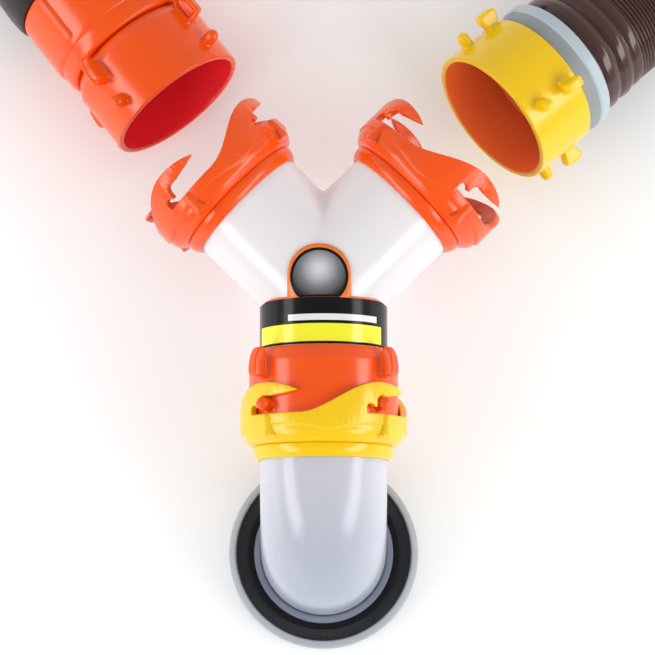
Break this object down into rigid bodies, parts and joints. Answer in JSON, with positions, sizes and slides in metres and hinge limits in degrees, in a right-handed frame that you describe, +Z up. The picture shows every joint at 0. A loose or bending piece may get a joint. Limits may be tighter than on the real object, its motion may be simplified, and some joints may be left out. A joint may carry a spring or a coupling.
{
  "type": "sewer hose kit",
  "caption": "Swivelling wye with bayonet arm collars, a clear elbow on a ring adapter, and two hoses with lug and bayonet ends, for draining trailer waste tanks.",
  "frame": {"origin": "on the ground at the axis of the elbow's outlet and its ring adapter", "axes": "+Z up along the outlet axis; +Y from the outlet along the leg of the wye towards its arms and the hoses; +X to the right arm"},
  "size_m": [0.789, 1.0605, 0.144],
  "materials": {
    "milky_plastic": "translucent milky, satin gloss",
    "orange_plastic": "gloss",
    "yellow_plastic": "gloss",
    "black_plastic": "satin",
    "grey_plastic": "satin",
    "slate_plastic": "satin",
    "black_hose": "satin vinyl",
    "brown_hose": "gloss vinyl",
    "grey_rubber": "satin",
    "rubber_black": "matte",
    "label_film": "printed film"
  },
  "bodies": {
    "elbow": {"elbow_body": "milky_plastic", "elbow_retainer": "yellow_plastic", "elbow_seal": "rubber_black"},
    "adapter": {"adapter_body": "black_plastic", "adapter_gasket": "grey_rubber", "adapter_lock_ring": "slate_plastic", "adapter_seal": "rubber_black"},
    "elbow_collar": {"elbow_collar": "yellow_plastic"},
    "wye_lug": {"wye_lug_fitting": "orange_plastic"},
    "wye": {"wye_body": "milky_plastic", "wye_lug_seal": "rubber_black", "wye_label": "label_film", "left_arm_retainer": "orange_plastic", "left_arm_seal": "rubber_black", "right_arm_retainer": "orange_plastic", "right_arm_seal": "rubber_black"},
    "left_arm_collar": {"left_arm_collar": "orange_plastic"},
    "right_arm_collar": {"right_arm_collar": "orange_plastic"},
    "left_hose": {"left_hose_cuff": "orange_plastic", "left_hose_sleeve": "black_hose", "left_hose_tube": "black_hose", "left_lug_seal": "rubber_black", "left_tail_cuff": "orange_plastic", "left_tail_retainer": "orange_plastic", "left_tail_seal": "rubber_black"},
    "left_lug": {"left_lug_fitting": "orange_plastic"},
    "left_tail_collar": {"left_tail_collar": "orange_plastic"},
    "right_hose": {"right_hose_cuff": "brown_hose", "right_lock_ring": "grey_plastic", "right_hose_tube": "brown_hose", "right_lug_seal": "rubber_black", "right_tail_cuff": "brown_hose", "right_tail_retainer": "yellow_plastic", "right_tail_seal": "rubber_black"},
    "right_lug": {"right_lug_fitting": "yellow_plastic"},
    "right_tail_collar": {"right_tail_collar": "yellow_plastic"}
  },
  "joints": [
    {"name": "adapter_swivel", "type": "hinge", "parent": "elbow", "child": "adapter", "pos_m": [0, 0, 0.03], "axis": [0, 0, 1], "continuous": true},
    {"name": "lug_swivel", "type": "hinge", "parent": "elbow", "child": "wye_lug", "pos_m": [0, 0.0825, 0.091], "axis": [0, 1, 0], "continuous": true},
    {"name": "elbow_collar_lock", "type": "hinge", "parent": "wye_lug", "child": "elbow_collar", "pos_m": [0, 0.0825, 0.091], "axis": [0, 1, 0], "range_deg": [-28, 0]},
    {"name": "wye_swivel", "type": "hinge", "parent": "wye_lug", "child": "wye", "pos_m": [0, 0.12, 0.091], "axis": [0, 1, 0], "continuous": true},
    {"name": "left_arm_collar_swivel", "type": "hinge", "parent": "wye", "child": "left_arm_collar", "pos_m": [-0.0676, 0.2386, 0.091], "axis": [-0.7071, 0.7071, 0], "continuous": true},
    {"name": "right_arm_collar_swivel", "type": "hinge", "parent": "wye", "child": "right_arm_collar", "pos_m": [0.0676, 0.2386, 0.091], "axis": [0.7071, 0.7071, 0], "continuous": true},
    {"name": "left_hose_slide", "type": "slide", "parent": "elbow", "child": "left_hose", "axis": [-0.6129, 0.7902, 0], "range_m": [-0.02, 0.06]},
    {"name": "left_lug_swivel", "type": "hinge", "parent": "left_hose", "child": "left_lug", "pos_m": [-0.12241, 0.32633, 0.06198], "axis": [0.6091, -0.7852, 0.1115], "continuous": true},
    {"name": "left_tail_collar_swivel", "type": "hinge", "parent": "left_hose", "child": "left_tail_collar", "pos_m": [-0.311, 0.979, 0.055], "axis": [0, 1, 0], "continuous": true},
    {"name": "right_hose_slide", "type": "slide", "parent": "elbow", "child": "right_hose", "axis": [0.757, 0.6534, 0], "range_m": [-0.015, 0.06]},
    {"name": "right_lug_swivel", "type": "hinge", "parent": "right_hose", "child": "right_lug", "pos_m": [0.14211, 0.30858, 0.06642], "axis": [-0.7358, -0.6351, 0.2351], "continuous": true},
    {"name": "right_tail_collar_swivel", "type": "hinge", "parent": "right_hose", "child": "right_tail_collar", "pos_m": [0.372, 0.889, 0.055], "axis": [0, 1, 0], "continuous": true}
  ]
}
